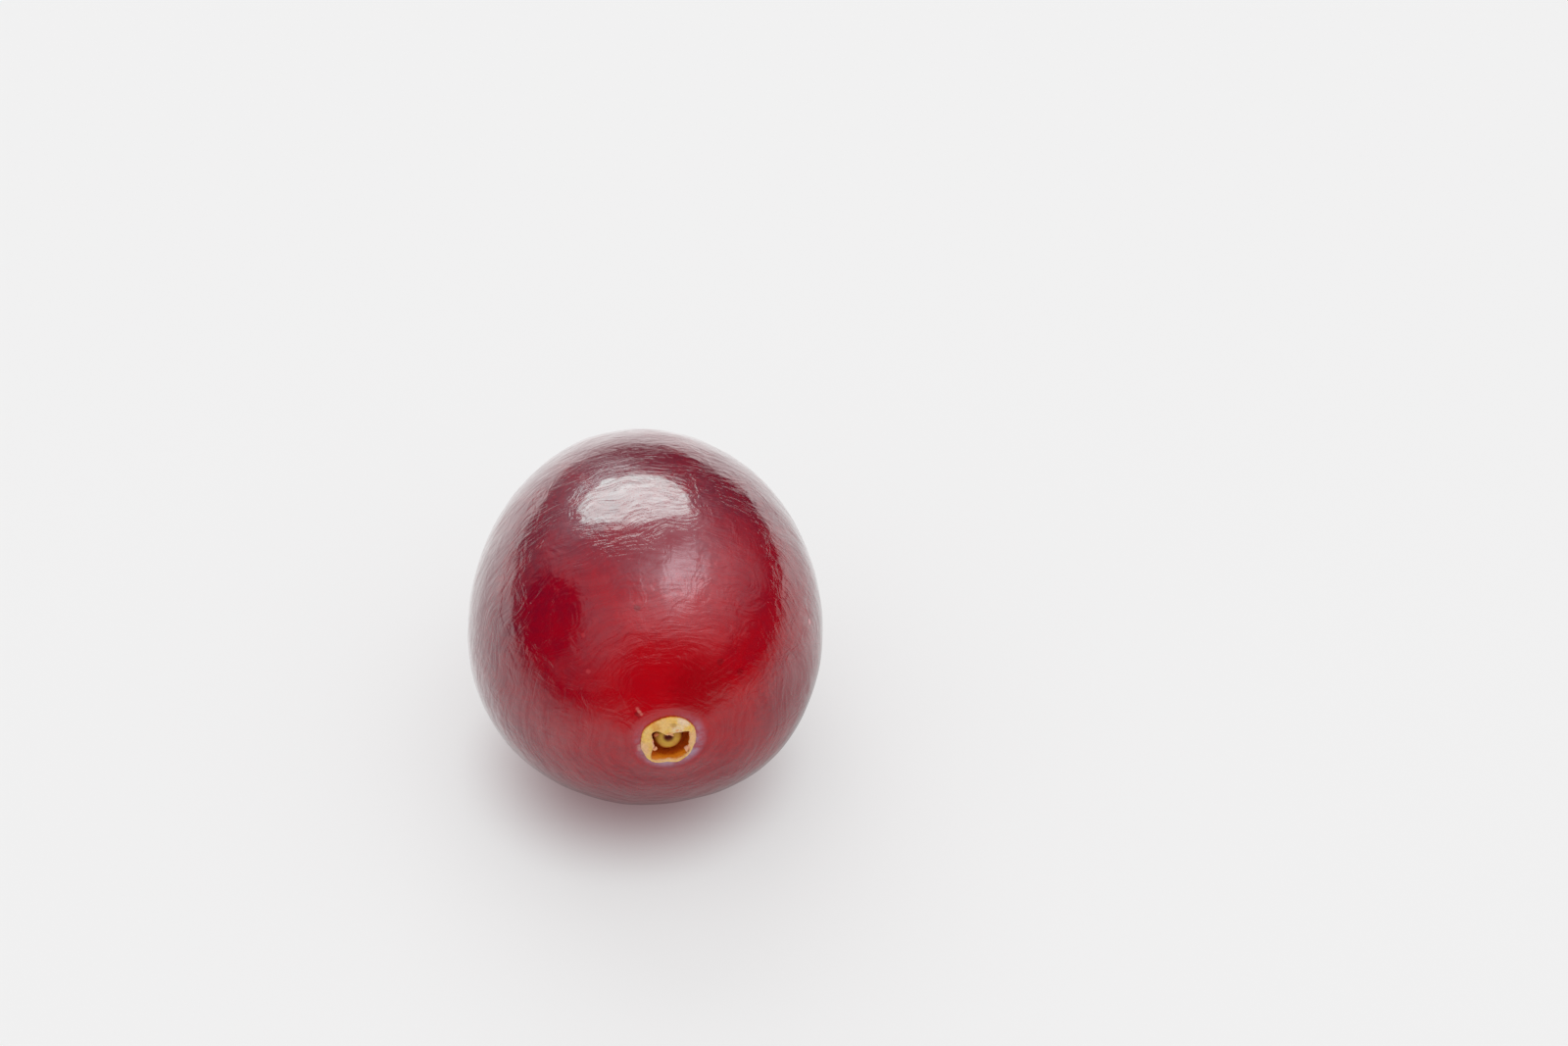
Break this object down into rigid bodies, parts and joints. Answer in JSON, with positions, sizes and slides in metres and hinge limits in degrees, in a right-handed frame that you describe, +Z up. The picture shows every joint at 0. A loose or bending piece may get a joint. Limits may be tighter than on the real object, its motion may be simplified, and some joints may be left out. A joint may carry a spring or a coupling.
{
  "type": "cranberry",
  "caption": "Ripe cranberry lying on its side: an egg-shaped fruit with a small stem dimple, and the dry calyx that crowns its blossom end.",
  "frame": {"origin": "centre of the bottom face of the bounding box, in the plane of the small flat spot that the fruit rests on", "axes": "+Z up, as the fruit lies; the blossom end with the calyx points to -Y and the stem end to +Y"},
  "size_m": [0.018, 0.0212, 0.0175],
  "materials": {
    "berry_skin": "waxy, glossy crimson fruit skin",
    "dry_calyx": "dry, withered, matt straw colour"
  },
  "bodies": {
    "root": {"berry": "berry_skin", "calyx": "dry_calyx"}
  },
  "joints": []
}
